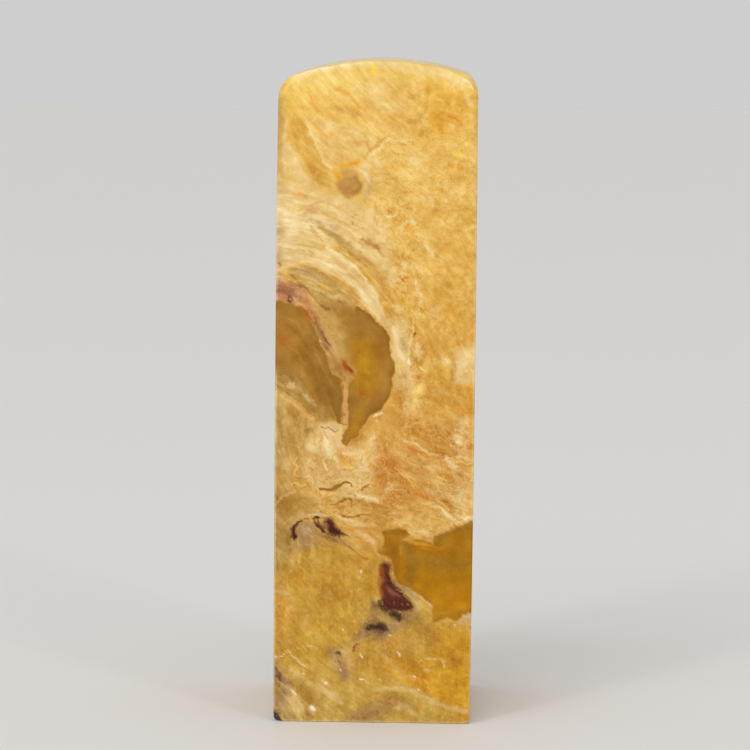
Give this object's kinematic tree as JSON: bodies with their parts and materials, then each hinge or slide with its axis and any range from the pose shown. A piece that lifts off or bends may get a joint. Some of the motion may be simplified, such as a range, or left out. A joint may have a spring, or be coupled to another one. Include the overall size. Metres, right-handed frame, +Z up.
{
  "type": "seal stamp",
  "caption": "Uncarved seal stamp: a square block of polished stone with an arched top, held upright and pressed on its flat base to print.",
  "frame": {"origin": "middle of the flat printing face at the base", "axes": "+Z up from the printing face to the arched top; the front face looks along -Y, and the arch runs from side to side along X"},
  "size_m": [0.03, 0.03, 0.1],
  "materials": {
    "honey_stone": "hand-polished, waxy gloss"
  },
  "bodies": {
    "root": {"seal_stone": "honey_stone"}
  },
  "joints": []
}
